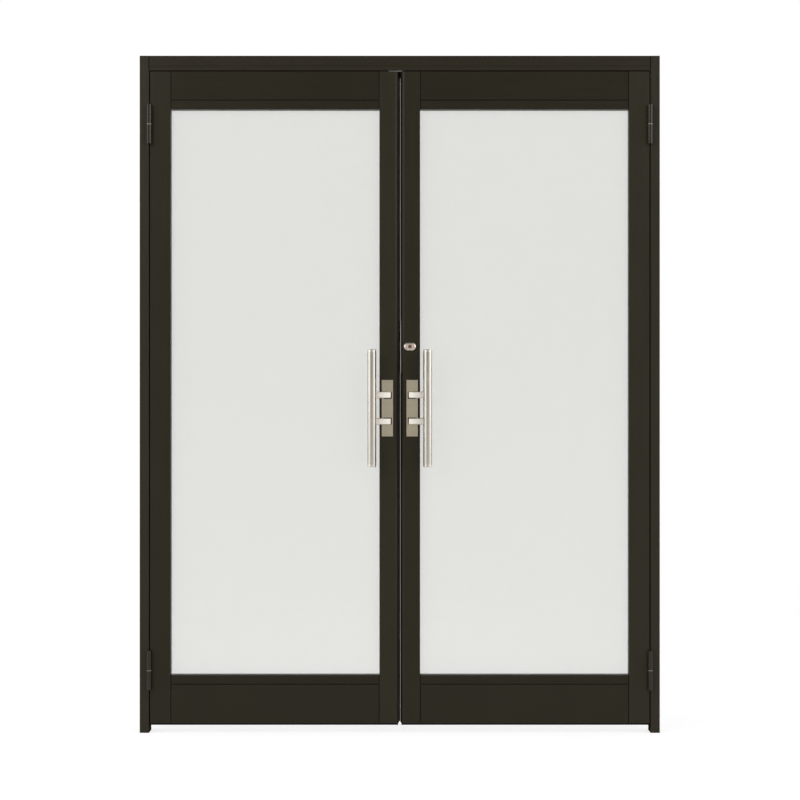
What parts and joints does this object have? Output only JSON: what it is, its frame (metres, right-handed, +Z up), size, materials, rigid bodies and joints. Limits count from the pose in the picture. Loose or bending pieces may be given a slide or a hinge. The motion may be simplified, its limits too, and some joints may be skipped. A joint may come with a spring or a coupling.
{
  "type": "pair of glazed entrance doors",
  "caption": "Side-hung double doors of dark bronze aluminium with tall frosted panes, pull bars and a deadlock, in a frame with jambs and a head but no sill.",
  "frame": {"origin": "on the floor, midway between the jambs and in the middle of the leaves' thickness", "axes": "+X to the right seen from outside, +Y inwards, +Z up; the outside face is at -Y"},
  "size_m": [1.69, 0.14, 2.2],
  "materials": {
    "frame_bronze": "satin dark bronze anodised",
    "leaf_bronze": "satin dark bronze anodised",
    "frosted_glass": "frosted, finely mottled",
    "black_rubber": "matte",
    "satin_steel": "satin",
    "plate_steel": "satin, warm grey",
    "hinge_bronze": "satin dark bronze",
    "satin_nickel": "satin nickel",
    "lock_steel": "plain",
    "mill_aluminium": "mill"
  },
  "bodies": {
    "frame": {"left_jamb": "frame_bronze", "right_jamb": "frame_bronze", "head": "frame_bronze", "frame_seals": "black_rubber", "head_keeper": "lock_steel", "left_upper_frame_flag": "hinge_bronze", "left_lower_frame_flag": "hinge_bronze", "right_upper_frame_flag": "hinge_bronze", "right_lower_frame_flag": "hinge_bronze", "hinge_pins": "lock_steel", "hinge_washers": "lock_steel"},
    "left_leaf": {"left_hinge_stile": "leaf_bronze", "left_meeting_stile": "leaf_bronze", "left_top_rail": "leaf_bronze", "left_bottom_rail": "leaf_bronze", "left_top_bead": "leaf_bronze", "left_bottom_bead": "leaf_bronze", "left_glass": "frosted_glass", "left_glazing_channel": "black_rubber", "left_corner_cleats": "mill_aluminium", "left_sweep": "black_rubber", "left_outer_handle_bar": "satin_steel", "left_inner_handle_bar": "satin_steel", "left_outer_handle_plate": "plate_steel", "left_inner_handle_plate": "plate_steel", "left_handle_arms": "satin_steel", "left_handle_end_caps": "satin_steel", "left_upper_leaf_flag": "hinge_bronze", "left_lower_leaf_flag": "hinge_bronze", "meeting_fin": "black_rubber", "strike_plate": "lock_steel", "flush_bolt_fronts": "lock_steel"},
    "right_leaf": {"right_hinge_stile": "leaf_bronze", "right_meeting_stile": "leaf_bronze", "right_top_rail": "leaf_bronze", "right_bottom_rail": "leaf_bronze", "right_top_bead": "leaf_bronze", "right_bottom_bead": "leaf_bronze", "right_glass": "frosted_glass", "right_glazing_channel": "black_rubber", "right_corner_cleats": "mill_aluminium", "right_sweep": "black_rubber", "right_outer_handle_bar": "satin_steel", "right_inner_handle_bar": "satin_steel", "right_outer_handle_plate": "plate_steel", "right_inner_handle_plate": "plate_steel", "right_handle_arms": "satin_steel", "right_handle_end_caps": "satin_steel", "right_upper_leaf_flag": "hinge_bronze", "right_lower_leaf_flag": "hinge_bronze", "lock_case": "lock_steel", "cylinder_rose": "satin_nickel", "cylinder_body": "satin_nickel", "thumb_turn_rose": "satin_nickel"},
    "top_bolt": {"top_flush_rod": "lock_steel"},
    "bottom_bolt": {"bottom_flush_rod": "lock_steel"},
    "thumb_turn": {"thumb_turn": "satin_nickel", "lock_spindle": "lock_steel"},
    "key_plug": {"cylinder_plug": "satin_nickel"},
    "deadbolt": {"deadbolt": "lock_steel"}
  },
  "joints": [
    {"name": "left_leaf_swing", "type": "hinge", "parent": "frame", "child": "left_leaf", "pos_m": [-0.81325, -0.029, 0.204], "axis": [0, 0, -1], "range_deg": [0, 110]},
    {"name": "right_leaf_swing", "type": "hinge", "parent": "frame", "child": "right_leaf", "pos_m": [0.81325, -0.029, 0.204], "axis": [0, 0, 1], "range_deg": [0, 110]},
    {"name": "thumb_turn_turn", "type": "hinge", "parent": "right_leaf", "child": "thumb_turn", "pos_m": [0.0329, 0, 1.255], "axis": [0, 1, 0], "range_deg": [0, 90]},
    {"name": "deadbolt_throw", "type": "slide", "parent": "right_leaf", "child": "deadbolt", "axis": [-1, 0, 0], "range_m": [0, 0.015]},
    {"name": "key_plug_turn", "type": "hinge", "parent": "right_leaf", "child": "key_plug", "pos_m": [0.0329, 0, 1.255], "axis": [0, 1, 0], "range_deg": [0, 90]},
    {"name": "top_bolt_slide", "type": "slide", "parent": "left_leaf", "child": "top_bolt", "axis": [0, 0, 1], "range_m": [0, 0.02]},
    {"name": "bottom_bolt_slide", "type": "slide", "parent": "left_leaf", "child": "bottom_bolt", "axis": [0, 0, -1], "range_m": [0, 0.02]}
  ],
  "couplings": [
    {"joint": "thumb_turn_turn", "follows": "deadbolt_throw", "rad_per_m": 104.72},
    {"joint": "key_plug_turn", "follows": "deadbolt_throw", "rad_per_m": 104.72}
  ]
}
